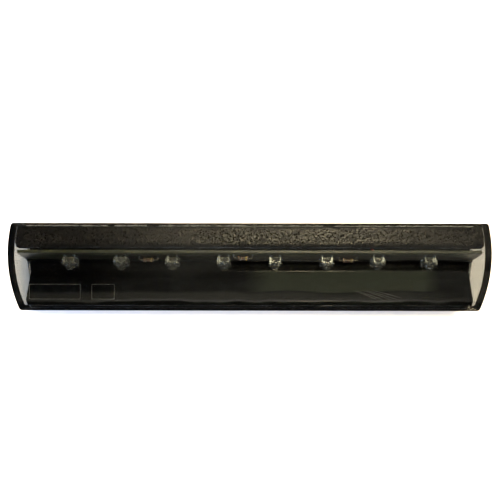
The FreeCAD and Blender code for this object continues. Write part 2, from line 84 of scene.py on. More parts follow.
LENS_LOW, LENS_HIGH = box_mm("lens")
BOARD_LOW, BOARD_HIGH = box_mm("circuit_board")
VISOR_BACK, VISOR_TOP = box_mm("visor")[1][1:]
LEDGE_TOP = box_mm("reflector")[1][2]
GASKET_TOP = box_mm("mounting_gasket")[1][2]
LED_X = [middle_mm(f"led_{k}")[0] for k in range(1, 9)]

FACE = LENS_HIGH[2]
FACE_INSIDE = FACE - 2.5     # the face is 2.5 thick
FLANGE_TOP = LENS_LOW[2]
HALF_HEIGHT = LENS_HIGH[1]
VISOR_FRONT = 9.7            # Y of the visor's front edge
BOARD_THICK = 1.6
SMEAR = 0.12                 # sealant left under the lens foot
BOARD_BELOW = 6.0            # from the LED row down to the board's lower edge
ROW_Y = BOARD_LOW[1] + BOARD_BELOW * math.sin(LEAN)
ROW_Z = BOARD_LOW[2] + BOARD_THICK * math.sin(LEAN) + BOARD_BELOW * math.cos(LEAN)

# One LED: its block stands off the board, with a round dome on its front.
LED_LIFT, LED_DEPTH, DOME = 1.0, 4.0, 2.5
LEG = 2.54                   # from the LED's middle to a leg, both ways
PLATE_OUT = LED_LIFT + 2.3   # flats of the leads inside the epoxy
PLATE_THICK = 0.4

# Outline of the lamp: one arc at each end and a small corner arc at each long edge.
END_RADIUS = 72.0
END_X = LENS_HIGH[0] - END_RADIUS
END_Y = 7.0
CORNER_UPPER, CORNER_LOWER = 1.6, 2.2
WALLS = {"ends": 2.95, "upper": 1.6, "lower": 2.6}
PLAY = 0.04                  # between the lens wall and what stands inside it
REFLECTOR_PLAY = 1.2         # the same at the ends of the reflector


def on_board(across, up, out):
    """Place of points given along the lamp, up the leaning board and out of its front (mm)."""
    across, up, out = np.broadcast_arrays(*(np.asarray(v, float) for v in (across, up, out)))
    return np.stack([across,
                     ROW_Y + up * math.sin(LEAN) - out * math.cos(LEAN),
                     ROW_Z + up * math.cos(LEAN) + out * math.sin(LEAN)], axis=-1)


# ---- Meshes ----------------------------------------------------------------------------

def solid(name, verts, faces, material, slot=None, sharp=35, replaces=()):
    """Mesh object from points in mm and faces, smooth except over sharp degrees, on the lamp."""
    mesh = bpy.data.meshes.new(name)
    mesh.from_pydata((np.asarray(verts, float) * MM).tolist(), [], faces)
    mesh.polygons.foreach_set("use_smooth", np.ones(len(mesh.polygons), bool))
    mesh.set_sharp_from_angle(angle=math.radians(sharp))
    mesh.materials.append(material)
    piece = bpy.data.objects.new(name, mesh)
    bpy.context.scene.collection.objects.link(piece)
    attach(piece, "root")
    if replaces:
        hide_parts(*replaces)
    return piece


def ring_faces(rings, points, closed):
    """Faces of a grid of rings, each ring closed on itself.

    Quad (i, j) joins rings i and i + 1 and points j and j + 1.  The first and last ring each
    end in one flat face; closed joins the last ring to the first instead.
    """
    index = np.arange(rings * points).reshape(rings, points)
    lower, upper = (index, np.roll(index, -1, axis=0)) if closed else (index[:-1], index[1:])
    quads = np.stack([lower, np.roll(lower, -1, axis=1), np.roll(upper, -1, axis=1), upper], -1)
    faces = quads.reshape(-1, 4).tolist()
    if not closed:
        faces += [index[0, ::-1].tolist(), index[-1].tolist()]
    return faces


def signed_volume(verts, faces):
    """Six times the volume that faces enclose: the sum of a . (b x c) over fans of triangles."""
    total = 0.0
    for count in {len(face) for face in faces}:
        corner = verts[np.array([face for face in faces if len(face) == count])]
        for k in range(1, count - 1):
            a, b, c = corner[:, 0], corner[:, k], corner[:, k + 1]
            total += float(np.sum(a * np.cross(b, c)))
    return total


def shells(name, stacks, material, closed=False, **more):
    """Solids in one piece, each through a stack of rings (rings, points, 3), turned to face out."""
    verts, faces, start = [], [], 0
    for rings in stacks:
        rings = np.asarray(rings, float)
        part = ring_faces(rings.shape[0], rings.shape[1], closed)
        points = rings.reshape(-1, 3)
        if signed_volume(points, part) < 0:
            part = [face[::-1] for face in part]
        faces += [[start + corner for corner in face] for face in part]
        verts.append(points)
        start += len(points)
    return solid(name, np.concatenate(verts), faces, material, **more)


def shell(name, rings, material, **more):
    """One solid through a stack of rings."""
    return shells(name, [rings], material, **more)


def lamp_outline(inset=0.0, ends=None, upper=None, lower=None, end_steps=36, corner_steps=8):
    """Points round the lamp, inside its outline by inset or by a distance for each side.

    The end arc is (END_X, END_Y) + r (cos a, sin a) with r = END_RADIUS - inset.  A corner arc
    of radius c touches it and the long edge: its centre is r - c from the end arc's centre.
    """
    ends, upper, lower = (inset if v is None else v for v in (ends, upper, lower))
    radius = END_RADIUS - ends

    def corner(side, edge_inset, size):
        small = size / (1 + edge_inset / 4)
        edge = side * (HALF_HEIGHT - edge_inset)
        up = edge - side * small - END_Y
        across = math.sqrt((radius - small) ** 2 - up ** 2)
        return small, across, up, math.atan2(up, across)

    small_up, x_up, y_up, turn_up = corner(1, upper, CORNER_UPPER)
    small_low, x_low, y_low, turn_low = corner(-1, lower, CORNER_LOWER)
    end = np.linspace(turn_low, turn_up, end_steps)
    top = np.linspace(turn_up, math.pi / 2, corner_steps)[1:]
    bottom = np.linspace(-math.pi / 2, turn_low, corner_steps)[:-1]
    right = np.concatenate([
        np.stack([x_low + small_low * np.cos(bottom), y_low + small_low * np.sin(bottom)], -1),
        np.stack([radius * np.cos(end), radius * np.sin(end)], -1),
        np.stack([x_up + small_up * np.cos(top), y_up + small_up * np.sin(top)], -1),
    ]) + (END_X, END_Y)
    left = right[::-1] * (-1, 1)
    return np.concatenate([right, left])


def at_height(outline, height):
    """An outline of (n, 2) as a ring at one height."""
    return np.column_stack([outline, np.full(len(outline), height)])


def room_end(across_y, play=PLAY):
    """Half length of the room inside the lens at one Y: its end arc, less the wall and play."""
    radius = END_RADIUS - WALLS["ends"] - play
    return END_X + np.sqrt(radius ** 2 - (across_y - END_Y) ** 2)


def rounded(corners, radius, steps=5):
    """Closed outline with each corner turned by an arc of the given radius, or one radius each.

    The arc touches both sides at radius / tan(half angle) from the corner.
    """
    corners = np.asarray(corners, float)
    radii = np.broadcast_to(radius, len(corners))
    points = []
    for k, corner in enumerate(corners):
        before, after = corners[k - 1] - corner, corners[(k + 1) % len(corners)] - corner
        a, b = before / np.linalg.norm(before), after / np.linalg.norm(after)
        half = math.acos(np.clip(a @ b, -1, 1)) / 2
        if radii[k] == 0 or half > 1.55:
            points.append(corner[None])
            continue
        middle = corner + (a + b) / np.linalg.norm(a + b) * radii[k] / math.sin(half)
        start = corner + a * radii[k] / math.tan(half) - middle
        stop = corner + b * radii[k] / math.tan(half) - middle
        share = np.linspace(0, 1, steps)[:, None]
        arc = start * (1 - share) + stop * share
        arc *= radii[k] / np.linalg.norm(arc, axis=1, keepdims=True)
        points.append(middle + arc)
    return np.concatenate(points)


def along_lamp(section, shares, play=PLAY):
    """A (y, z) section carried along the room inside the lens: x = share * room_end(y)."""
    y, z = section[:, 0], section[:, 1]
    return np.stack([np.column_stack([share * room_end(y, play), y, z]) for share in shares])


def slab(section, middle, thick):
    """A (y, z) section as a plate across the lamp, thick mm along x."""
    return [np.column_stack([np.full(len(section), middle + side * thick / 2), section])
            for side in (-1, 1)]


def upright(centre, profile, points=24):
    """Turned solid about an upright axis through centre from (radius, z) pairs."""
    turn = np.arange(points) * 2 * math.pi / points
    return [np.column_stack([centre[0] + r * np.cos(turn), centre[1] + r * np.sin(turn),
                             np.full(points, z)]) for r, z in profile]


def square_ring(half, power, points=48):
    """Rounded square |x|^p + |y|^p = half^p as (points, 2); a power of 2 is a circle."""
    turn = (np.arange(points) + 0.5) * 2 * math.pi / points
    cos, sin = np.cos(turn), np.sin(turn)
    bent = 2 / power
    return half * np.column_stack([np.sign(cos) * np.abs(cos) ** bent,
                                   np.sign(sin) * np.abs(sin) ** bent])


def block(long, high, points=((-1, -1), (1, -1), (1, 1), (-1, 1))):
    """Rectangle long by high round the origin, as (4, 2)."""
    return np.array(points) * (long / 2, high / 2)


def out_of_board(middle, rings):
    """Rings of ((n, 2) outline, out) pairs, about (across, up), as places on the board."""
    return np.stack([on_board(middle[0] + ring[:, 0], middle[1] + ring[:, 1], out)
                     for ring, out in rings])


def heading(path):
    """Unit direction of a path (n, 2) at each of its points."""
    ahead = np.gradient(path, axis=0)
    return ahead / np.linalg.norm(ahead, axis=1, keepdims=True)


def value_noise(u, v, cell, seed):
    """Smooth noise from -1 to 1: random values on a lattice, eased between with 3t^2 - 2t^3."""
    size = 256
    table = np.random.default_rng(seed).uniform(-1, 1, (size, size))
    x, y = np.asarray(u) / cell, np.asarray(v) / cell
    i, j = np.floor(x).astype(int), np.floor(y).astype(int)
    s, t = x - i, y - j
    s, t = s * s * (3 - 2 * s), t * t * (3 - 2 * t)
    i, j, i1, j1 = i % size, j % size, (i + 1) % size, (j + 1) % size
    low = table[i, j] * (1 - s) + table[i1, j] * s
    high = table[i, j1] * (1 - s) + table[i1, j1] * s
    return low * (1 - t) + high * t


# ---- Materials -------------------------------------------------------------------------

def srgb(text):
    """Linear RGBA from a hex colour: c/12.92 in the toe, else ((c + 0.055) / 1.055)^2.4."""
    parts = [int(text[i:i + 2], 16) / 255 for i in (1, 3, 5)]
    linear = [c / 12.92 if c <= 0.04045 else ((c + 0.055) / 1.055) ** 2.4 for c in parts]
    return (*linear, 1.0)


def add(tree, kind, sockets=None, **settings):
    """Adds one node: settings are its own properties; sockets holds values or linked outputs."""
    node = tree.nodes.new("ShaderNode" + kind)
    for name, value in settings.items():
        setattr(node, name, value)
    for name, value in (sockets or {}).items():
        if isinstance(value, bpy.types.NodeSocket):
            tree.links.new(value, node.inputs[name])
        else:
            node.inputs[name].default_value = value
    return node


def material(name, **sockets):
    """A material with a Principled shader, its node tree, its shader and object coordinates."""
    made = bpy.data.materials.new(name)
    made.use_nodes = True
    tree = made.node_tree
    shader = tree.nodes["Principled BSDF"]
    for key, value in sockets.items():
        shader.inputs[key.replace("_", " ")].default_value = value
    return made, tree, shader, add(tree, "TexCoord").outputs["Object"]


def spread(tree, source, low, high, to_low, to_high):
    """A number moved from the range low..high to the range to_low..to_high, and held there."""
    node = add(tree, "MapRange", {"Value": source, "From Min": low, "From Max": high,
                                  "To Min": to_low, "To Max": to_high})
    return node.outputs["Result"]


def drive(tree, shader, socket, source):
    """Links a value or colour to one of the shader's sockets."""
    tree.links.new(source, shader.inputs[socket])


def noise(tree, where, size_mm, **sockets):
    """Noise whose blobs are about size_mm across."""
    return add(tree, "TexNoise", {"Vector": where, "Scale": 1 / (size_mm * MM), **sockets})


def blend(tree, factor, first, second):
    """Colour between two, by a factor; the Mix node's colours are inputs 6 and 7, output 2."""
    mixed = add(tree, "Mix", {"Factor": factor, 6: first, 7: second}, data_type="RGBA")
    return mixed.outputs[2]


def bump(tree, shader, height, depth_mm):
    """Bumps the shader's surface by a height from 0 to 1 that stands for depth_mm."""
    node = add(tree, "Bump", {"Height": height, "Distance": depth_mm * MM})
    drive(tree, shader, "Normal", node.outputs["Normal"])


def lets_lamps_through(made, tree, shader, tint):
    """Light from lamps passes the clear shader straight, so what is inside is lit."""
    path = add(tree, "LightPath")
    clear = add(tree, "BsdfTransparent", {"Color": tint})
    mixed = add(tree, "MixShader", {"Fac": path.outputs["Is Shadow Ray"],
                                    1: shader.outputs[0], 2: clear.outputs[0]})
    tree.links.new(mixed.outputs[0], tree.nodes["Material Output"].inputs["Surface"])
    return made


def clear_acrylic():
    """Moulded acrylic with a light smoke: glassy, with faint flow waves and hairline marks."""
    made, tree, shader, where = material("clear_acrylic", Base_Color=srgb("#bcbebe"), IOR=1.49,
                                         Transmission_Weight=1.0, Roughness=0.02)
    flow = noise(tree, where, 26.0, Detail=1.0)
    streaks = add(tree, "Mapping", {"Vector": where, "Scale": (0.12, 1.0, 1.0),
                                    "Rotation": (0, 0, math.radians(-14))})
    marks = noise(tree, streaks.outputs[0], 0.5, Detail=3.0)
    rough = spread(tree, marks.outputs[0], 0.6, 0.8, 0.0, 0.04)
    drive(tree, shader, "Roughness", rough)
    bump(tree, shader, flow.outputs[0], 0.05)
    return lets_lamps_through(made, tree, shader, srgb("#d0d2d2"))


def frosted_acrylic():
    """Acrylic left matt by the mould or by wear: a pale haze where light catches it."""
    made, tree, shader, where = material("frosted_acrylic", Base_Color=srgb("#4c4e4b"), IOR=1.49,
                                         Transmission_Weight=0.8, Roughness=0.5)
    worn = noise(tree, where, 0.8, Detail=3.0)
    drive(tree, shader, "Roughness", spread(tree, worn.outputs[0], 0.35, 0.65, 0.3, 0.7))
    bump(tree, shader, worn.outputs[0], 0.04)
    return made


def led_epoxy():
    """Cast water-clear epoxy: bright edges, a little cloudy in places."""
    made, tree, shader, where = material("led_epoxy", Base_Color=srgb("#f4f6ee"), IOR=1.53,
                                         Transmission_Weight=0.975, Roughness=0.03)
    cloud = noise(tree, where, 1.6, Detail=2.0)
    drive(tree, shader, "Roughness", spread(tree, cloud.outputs[0], 0.45, 0.8, 0.0, 0.08))
    bump(tree, shader, cloud.outputs[0], 0.02)
    return lets_lamps_through(made, tree, shader, srgb("#f4f7f2"))


def grained_abs():
    """Black ABS from a spark-eroded mould: a coarse sparkling grain of about 0.7 mm."""
    made, tree, shader, where = material("grained_abs", Base_Color=srgb("#0b0a09"), IOR=1.54,
                                         Roughness=0.3)
    grain = noise(tree, where, 0.7, Detail=3.0, Roughness=0.62)
    dust = noise(tree, where, 7.0, Detail=2.0)
    colour = blend(tree, spread(tree, dust.outputs[0], 0.35, 0.7, 0.0, 1.0),
                   srgb("#050504"), srgb("#0c0b0a"))
    drive(tree, shader, "Base Color", colour)
    drive(tree, shader, "Roughness", spread(tree, grain.outputs[0], 0.3, 0.7, 0.3, 0.2))
    drive(tree, shader, "Specular IOR Level", spread(tree, grain.outputs[0], 0.42, 0.6, 0.02, 1.0))
    bump(tree, shader, grain.outputs[0], 0.09)
    return made


def gloss_abs():
    """Black ABS off a polished mould: a dark mirror with slow waves and a little dust."""
    made, tree, shader, where = material("gloss_abs", Base_Color=srgb("#050505"), IOR=1.54,
                                         Roughness=0.1)
    wave = noise(tree, where, 30.0, Detail=1.0)
    dust = noise(tree, where, 0.6, Detail=2.0)
    drive(tree, shader, "Roughness", spread(tree, dust.outputs[0], 0.5, 0.75, 0.07, 0.3))
    specks = blend(tree, spread(tree, dust.outputs[0], 0.68, 0.78, 0.0, 1.0),
                   srgb("#040404"), srgb("#1a1917"))
    drive(tree, shader, "Base Color", specks)
    bump(tree, shader, wave.outputs[0], 0.2)
    return made


def satin_abs():
    """Black ABS with the fine satin of a lightly blasted mould."""
    made, tree, shader, where = material("satin_abs", Base_Color=srgb("#080808"), IOR=1.54,
                                         Roughness=0.5, Specular_IOR_Level=0.06)
    grit = noise(tree, where, 0.35, Detail=3.0)
    rub = noise(tree, where, 12.0, Detail=3.0)
    drive(tree, shader, "Roughness", spread(tree, rub.outputs[0], 0.3, 0.7, 0.42, 0.6))
    colour = blend(tree, rub.outputs[0], srgb("#050505"), srgb("#0d0d0d"))
    drive(tree, shader, "Base Color", colour)
    bump(tree, shader, grit.outputs[0], 0.03)
    return made


def epdm_foam():
    """Closed-cell EPDM foam: dull near-black with small round cells cut open, each cell's hollow
    painted darker as shade.
    """
    made, tree, shader, where = material("epdm_foam", Base_Color=srgb("#262627"), Roughness=0.92)
    cells = add(tree, "TexVoronoi", {"Vector": where, "Scale": 1 / (0.8 * MM)})
    skin = noise(tree, where, 5.0, Detail=3.0)
    # painted shade: the colour darkens towards each cell's middle, where the bump sinks it into a
    # hollow
    colour = blend(tree, spread(tree, cells.outputs["Distance"], 0.1, 0.6, 0.0, 1.0),
                   srgb("#161617"), srgb("#333335"))
    drive(tree, shader, "Base Color", colour)
    drive(tree, shader, "Roughness", spread(tree, skin.outputs[0], 0.3, 0.7, 0.85, 0.98))
    bump(tree, shader, cells.outputs["Distance"], 0.25)
    return made


def board_laminate():
    """Glass-epoxy board: dark olive solder mask over slightly raised tracks, woven beneath."""
    made, tree, shader, where = material("board_laminate", Base_Color=srgb("#263022"), IOR=1.5,
                                         Roughness=0.35)
    flat = add(tree, "Mapping", {"Vector": where, "Rotation": (LEAN - math.pi / 2, 0, 0)})
    split = add(tree, "SeparateXYZ", {"Vector": flat.outputs[0]})
    tracks = add(tree, "TexBrick", {"Vector": flat.outputs[0], "Scale": 1 / (28.0 * MM),
                                    "Mortar Size": 0.035, "Brick Width": 1.0, "Row Height": 0.16,
                                    "Mortar Smooth": 0.2})
    weave = add(tree, "TexWave", {"Vector": flat.outputs[0], "Scale": 1 / (4.0 * MM),
                                  "Distortion": 0.4})
    copper = spread(tree, tracks.outputs["Fac"], 0.2, 0.8, 1.0, 0.0)
    green = blend(tree, copper, srgb("#12140c"), srgb("#23261a"))
    cloth = blend(tree, spread(tree, weave.outputs["Fac"], 0.2, 0.8, 0.0, 0.25), green,
                  srgb("#3a3826"))
    drive(tree, shader, "Base Color", cloth)
    drive(tree, shader, "Roughness", spread(tree, split.outputs["X"], -0.12, 0.12, 0.3, 0.45))
    bump(tree, shader, copper, 0.05)
    return made


def tinned_copper():
    """Hot-tinned copper: bright soft metal with a slightly frosted crystal bloom."""
    made, tree, shader, where = material("tinned_copper", Base_Color=srgb("#8c9196"), Metallic=1.0,
                                         Roughness=0.25)
    bloom = noise(tree, where, 0.7, Detail=3.0)
    drive(tree, shader, "Roughness", spread(tree, bloom.outputs[0], 0.3, 0.7, 0.18, 0.4))
    bump(tree, shader, bloom.outputs[0], 0.02)
    return made


def mottled(name, dark, light, size_mm, rough, depth_mm, detail=3.0, **sockets):
    """Surface whose colour, roughness and faint bumps follow one noise."""
    made, tree, shader, where = material(name, **sockets)
    film = noise(tree, where, size_mm, Detail=detail).outputs[0]
    drive(tree, shader, "Base Color", blend(tree, film, srgb(dark), srgb(light)))
    drive(tree, shader, "Roughness", spread(tree, film, 0.3, 0.7, *rough))
    bump(tree, shader, film, depth_mm)
    return made


def oxidised_tin():
    """Old tinned wire, gone grey and dull."""
    return mottled("oxidised_tin", "#45443f", "#77766e", 0.9, (0.4, 0.6), 0.02, detail=2.0,
                   Base_Color=srgb("#5c5b55"), Metallic=1.0, Roughness=0.5)


def turned_brass():
    """Turned brass, a little dull from handling."""
    return mottled("turned_brass", "#b08c44", "#dcbf78", 2.0, (0.22, 0.45), 0.01,
                   Base_Color=srgb("#c9a75a"), Metallic=1.0, Roughness=0.3)


def zinc_steel():
    """Zinc-plated steel: pale grey metal with a faint mottled film."""
    return mottled("zinc_steel", "#a5a8a8", "#cfcfc8", 1.5, (0.28, 0.5), 0.01,
                   Base_Color=srgb("#b9bbbc"), Metallic=1.0, Roughness=0.35)


def rubber(name, dark, light):
    """Moulded rubber or soft PVC: satin, with a faint uneven bloom."""
    return mottled(name, dark, light, 3.0, (0.5, 0.72), 0.02, Base_Color=srgb(dark), Roughness=0.6)


def resistor_lacquer():
    """Brown conformal lacquer, glossy and slightly lumpy, with the bands painted on the mesh."""
    made, tree, shader, where = material("resistor_lacquer", Base_Color=srgb("#b59a6c"), IOR=1.5,
                                         Roughness=0.25)
    lumps = noise(tree, where, 1.2, Detail=2.0)
    bands = add(tree, "VertexColor", layer_name="bands").outputs["Color"]
    faded = spread(tree, lumps.outputs[0], 0.3, 0.8, 0.0, 0.25)
    drive(tree, shader, "Base Color", blend(tree, faded, bands, srgb("#4c4436")))
    drive(tree, shader, "Roughness", spread(tree, lumps.outputs[0], 0.3, 0.7, 0.2, 0.35))
    bump(tree, shader, lumps.outputs[0], 0.04)
    return made


def silicone_sealant():
    """Clear silicone: milky, soft-edged and uneven where it was smoothed."""
    made, tree, shader, where = material("silicone_sealant", Base_Color=srgb("#a6a8a4"), IOR=1.41,
                                         Roughness=0.3, Transmission_Weight=0.6)
    lumps = noise(tree, where, 2.0, Detail=3.0)
    drive(tree, shader, "Roughness", spread(tree, lumps.outputs[0], 0.3, 0.7, 0.18, 0.5))
    bump(tree, shader, lumps.outputs[0], 0.15)
    return made


MATERIALS = {
    "clear_acrylic": clear_acrylic(), "frosted_acrylic": frosted_acrylic(),
    "oxidised_tin": oxidised_tin(),
    "black_abs": satin_abs(), "grained_abs": grained_abs(),
    "gloss_abs": gloss_abs(), "foam": epdm_foam(), "sealant": silicone_sealant(),
    "fibreglass": board_laminate(), "clear_epoxy": led_epoxy(), "tinned_copper": tinned_copper(),
    "resistor_coat": resistor_lacquer(), "brass": turned_brass(), "zinc_steel": zinc_steel(),
    "silicone_seal": rubber("silicone_seal", "#2b2c2e", "#3a3b3d"),
    "red_insulation": rubber("red_pvc", "#7c1712", "#982019"),
    "black_insulation": rubber("black_pvc", "#151515", "#242424"),
}


def dress_frame():
    """Every CAD node takes the finish of its material slot."""
    for part in frame["record"]["subparts"]:
        node = frame["nodes"][part["node"]]
        for holder in node.material_slots:
            holder.material = MATERIALS[part["material_slot"]]


# ---- Pieces ----------------------------------------------------------------------------

def make_lens():
    """Lens shell: down its rounded outer side, under its foot and up its inner side.

    Each ring is the outline drawn in by the wall's share and lifted to a height; an edge of
    radius r is a quarter round: inset r (1 - sin a), height top - r (1 - cos a).  A narrow flat
    ring beside each face keeps the whole face's shading level.
    """
    rounding, inner, foot = 0.06, 0.01, FLANGE_TOP + SMEAR
    level = 0.1
    rings = [at_height(lamp_outline(rounding + level), FACE)]
    for a in np.linspace(0, math.pi / 2, 6):
        rings.append(at_height(lamp_outline(rounding * (1 - math.sin(a))),
                               FACE - rounding * (1 - math.cos(a))))
    rings.append(at_height(lamp_outline(0), foot))
    rings.append(at_height(lamp_outline(**WALLS), foot))
    for a in np.linspace(0, math.pi / 2, 6):
        ring = lamp_outline(**{side: wall + inner * (1 - math.cos(a))
                               for side, wall in WALLS.items()})
        rings.append(at_height(ring, FACE_INSIDE - inner * (1 - math.sin(a))))
    flat = {side: wall + inner + level for side, wall in WALLS.items()}
    rings.append(at_height(lamp_outline(**flat), FACE_INSIDE))
    shell("lens_shell", rings, MATERIALS["clear_acrylic"], slot="clear_acrylic",
          replaces=("lens",))


def make_sealant():
    """Bead round the lens foot, and the milky smear it left under the foot of the upper wall.

    The bead is an arch of wandering height between lip and wall.  The smear is a flat ribbon
    with wandering edges, in runs that stop where a slow noise is low.
    """
    low, bead_high, bead_wide = FLANGE_TOP, 1.15, 0.6
    outer = lamp_outline(**WALLS)
    inner = lamp_outline(**{side: wall + bead_wide for side, wall in WALLS.items()})
    height = low + bead_high + 0.05 * value_noise(outer[:, 0], outer[:, 1], 6.0, SEED + 2)
    bead = []
    for share, lift in ((0, 0), (0, 0.85), (0.25, 1), (0.75, 1), (1, 0.85), (1, 0)):
        flat = outer * (1 - share) + inner * share
        bead.append(np.column_stack([flat, low + (height - low) * lift]))
    shell("sealant_ring", bead, MATERIALS["sealant"], slot="sealant", closed=True,
          replaces=("sealant_bead",))
    half, step = LENS_HIGH[0] - 4.0, 0.6
    x = np.arange(-half, half, step)
    wander = value_noise(x, 0 * x, 5.0, SEED + 3)
    near = HALF_HEIGHT - WALLS["upper"] + 0.05 + 0.15 * np.abs(value_noise(x, 0 * x, 1.7, SEED + 4))
    far = HALF_HEIGHT - 0.5 - 0.4 * np.abs(wander)
    kept = value_noise(x, 0 * x, 11.0, SEED + 5) > -0.8
    runs, run, shortest = [], [], 3
    for k in range(len(x)):
        if kept[k]:
            run.append([(x[k], near[k], low), (x[k], far[k], low),
                        (x[k], far[k], low + SMEAR), (x[k], near[k], low + SMEAR)])
        if run and (not kept[k] or k == len(x) - 1):
            if len(run) > shortest:
                runs.append(np.array(run))
            run = []
    shells("sealant_smear", runs, MATERIALS["sealant"], slot="sealant")


def make_visor():
    """Grained cover with its ribs and screw posts: its section carried along the room.

    The grain on its top and front edge is the sum of two value noises.  Near each end the
    front edge draws back by r - sqrt(r^2 - (r - t)^2), t being the way to the end, and the
    rest of the section by less, down to nothing at its back.
    """
    front, back, top = VISOR_FRONT, VISOR_BACK + 0.1, VISOR_TOP
    low, under, skirt, lip = FLANGE_TOP + 1.2, top - 1.5, 1.3, 1.8
    deep, high, corner = 2.6, 1.1, 2.2
    turn = np.linspace(math.pi, math.pi / 2, 11)
    edge = np.column_stack([front + deep + deep * np.cos(turn), top - high + high * np.sin(turn)])
    flat = np.linspace(front + deep, back - 0.3, 38)[1:]
    rest = [(back, top - 0.3), (back, low), (back - skirt, low), (back - skirt, under),
            (front + skirt, under), (front + skirt, under - lip), (front, under - lip)]
    section = np.concatenate([edge, np.column_stack([flat, np.full(len(flat), top)]), rest])
    grained = np.arange(len(section)) < len(edge) + len(flat) - 1
    rings = along_lamp(section, np.linspace(-1, 1, 1100))
    to_end = room_end(rings[..., 1]) - np.abs(rings[..., 0])
    inside = np.clip(corner - to_end, 0, corner)
    drawn = corner - np.sqrt(corner ** 2 - inside ** 2)
    rings[..., 1] += drawn * np.clip((back - rings[..., 1]) / (back - front), 0, 1)
    x, y = rings[..., 0], rings[..., 1]
    coarse, fine, height, sunk = 0.65, 0.4, 0.12, 0.1
    grain = 0.6 * value_noise(x, y, coarse, SEED) + 0.4 * value_noise(x, y, fine, SEED + 1)
    rings[..., 2] += np.where(grained, height * grain - sunk, 0)
    stacks = [rings]
    rib = [on_board(0, 4.0, -BOARD_THICK)[1:], (front + skirt / 2, under + 0.1),
           (back - skirt / 2, under + 0.1), (back - skirt / 2, 12.0),
           on_board(0, -3.0, -BOARD_THICK)[1:]]
    for middle in (-112, -84, -28, 28, 84, 112):
        stacks.append(slab(np.array(rib), middle, 1.4))
    for middle in (-98.0, 0.0, 98.0):
        stacks.append(upright((middle, 15.3), [(2.9, FLANGE_TOP), (3.0, FLANGE_TOP + 0.3),
                                               (3.0, under - 0.8), (3.8, under + 0.1)]))
    shells("visor_shell", stacks, MATERIALS["grained_abs"], slot="grained_abs",
           replaces=("visor",))


def make_reflector():
    """Reflector: the CAD section with its edges rounded, carried along the room.

    From the lip of the board's seat the section runs down the seat, under the floor, the ramp
    and the ledge, round the skirt, and back over the ledge, down the ramp and along the floor.
    """
    ledge, low = LEDGE_TOP, FLANGE_TOP + 1.2
    floor, skirt_y, thick = low + 1.2, WALLS["lower"] + PLAY - HALF_HEIGHT, 1.4
    foot_y, head_y = -3.2, -18.2
    rise = (ledge - floor) / (foot_y - head_y)
    drop = thick * math.hypot(1, rise)

    def under(height):
        return foot_y - (height - floor + drop) / rise

    lip_up, lip_out = 1.2 - BOARD_BELOW, 0.9
    wall_foot = (floor - ROW_Z - lip_out * math.sin(LEAN)) / math.cos(LEAN)
    back = on_board(0, -BOARD_BELOW, -BOARD_THICK)
    corners = [
        on_board(0, lip_up, lip_out)[1:], on_board(0, lip_up, 0.02)[1:],
        on_board(0, -BOARD_BELOW, 0.02)[1:], back[1:], (back[1], low), (under(low), low),
        (under(ledge - thick), ledge - thick), (skirt_y + 1.3, ledge - thick),
        (skirt_y + 1.3, low), (skirt_y, low), (skirt_y, ledge), (head_y, ledge),
        (foot_y, floor), (on_board(0, wall_foot, lip_out)[1], floor)]
    radii = [0.3, 0.3, 0, 0, 0, 0, 0, 0, 0.2, 0.2, 0, 0.45, 1.2, 0.8]
    section = rounded(corners, radii, steps=7)
    stacks = [along_lamp(section, np.linspace(-1, 1, 41), REFLECTOR_PLAY)]
    web = [(-6.5, FLANGE_TOP), (-6.5, floor + (foot_y + 6.5) * rise - drop + 0.5),
           (-18.4, floor + (foot_y + 18.4) * rise - drop + 0.5), (-18.4, FLANGE_TOP)]
    stacks += [slab(np.array(web), middle, 2.0) for middle in (-56.0, 0.0, 56.0)]
    shells("reflector_shell", stacks, MATERIALS["gloss_abs"], slot="gloss_abs",
           replaces=("reflector",), sharp=40)


def lead_strip(side):
    """Path (x, out) of a lead: up the leg, a quarter bend of radius r, in along the flat."""
    r, leg = 0.5, side * LEG
    turn = np.linspace(0, math.pi / 2, 6)
    middle = PLATE_OUT + PLATE_THICK / 2
    bend = np.column_stack([leg - side * r * (1 - np.cos(turn)), middle - r + r * np.sin(turn)])
    straight = [(leg, -BOARD_THICK - 0.8), (leg, -BOARD_THICK - 0.6),
                (leg, LED_LIFT + 0.35), (leg, LED_LIFT + 0.5)]
    return np.concatenate([straight, bend, [(side * 1.6, middle)]])


def make_leads(count, middle_x):
    """Two leads, each with two legs bent into one flat that ends in the middle of the LED."""
    for side, pole in ((-1, "anode"), (1, "cathode")):
        path = lead_strip(side)
        ahead = heading(path)
        across = np.column_stack([ahead[:, 1], -ahead[:, 0]])
        wide = np.full(len(path), 1.2)
        wide[0], wide[1:3] = 0.3, 0.5
        thick = np.full(len(path), PLATE_THICK)
        thick[0] = 0.25
        stacks = []
        for level in (-1, 1):
            corners = [(-1, -1), (1, -1), (1, 1), (-1, 1)]
            rings = np.stack([np.column_stack([
                path[:, 0] + a * across[:, 0] * thick / 2,
                level * LEG + b * wide / 2,
                path[:, 1] + a * across[:, 1] * thick / 2]) for a, b in corners], axis=1)
            stacks.append(on_board(middle_x + rings[..., 0], rings[..., 1], rings[..., 2]))
        inner, outer = 0.7, LEG - 0.3
        long = outer - inner
        flat = rounded(block(long, 6.2) + (side * (inner + outer) / 2, 0), 0.35, 4)
        stacks.append(out_of_board((middle_x, 0), [
            (flat, PLATE_OUT), (flat, PLATE_OUT + PLATE_THICK)]))
        shells(f"led_{count}_{pole}_strip", stacks, MATERIALS["tinned_copper"],
               slot="tinned_copper", replaces=(f"led_{count}_{pole}",))


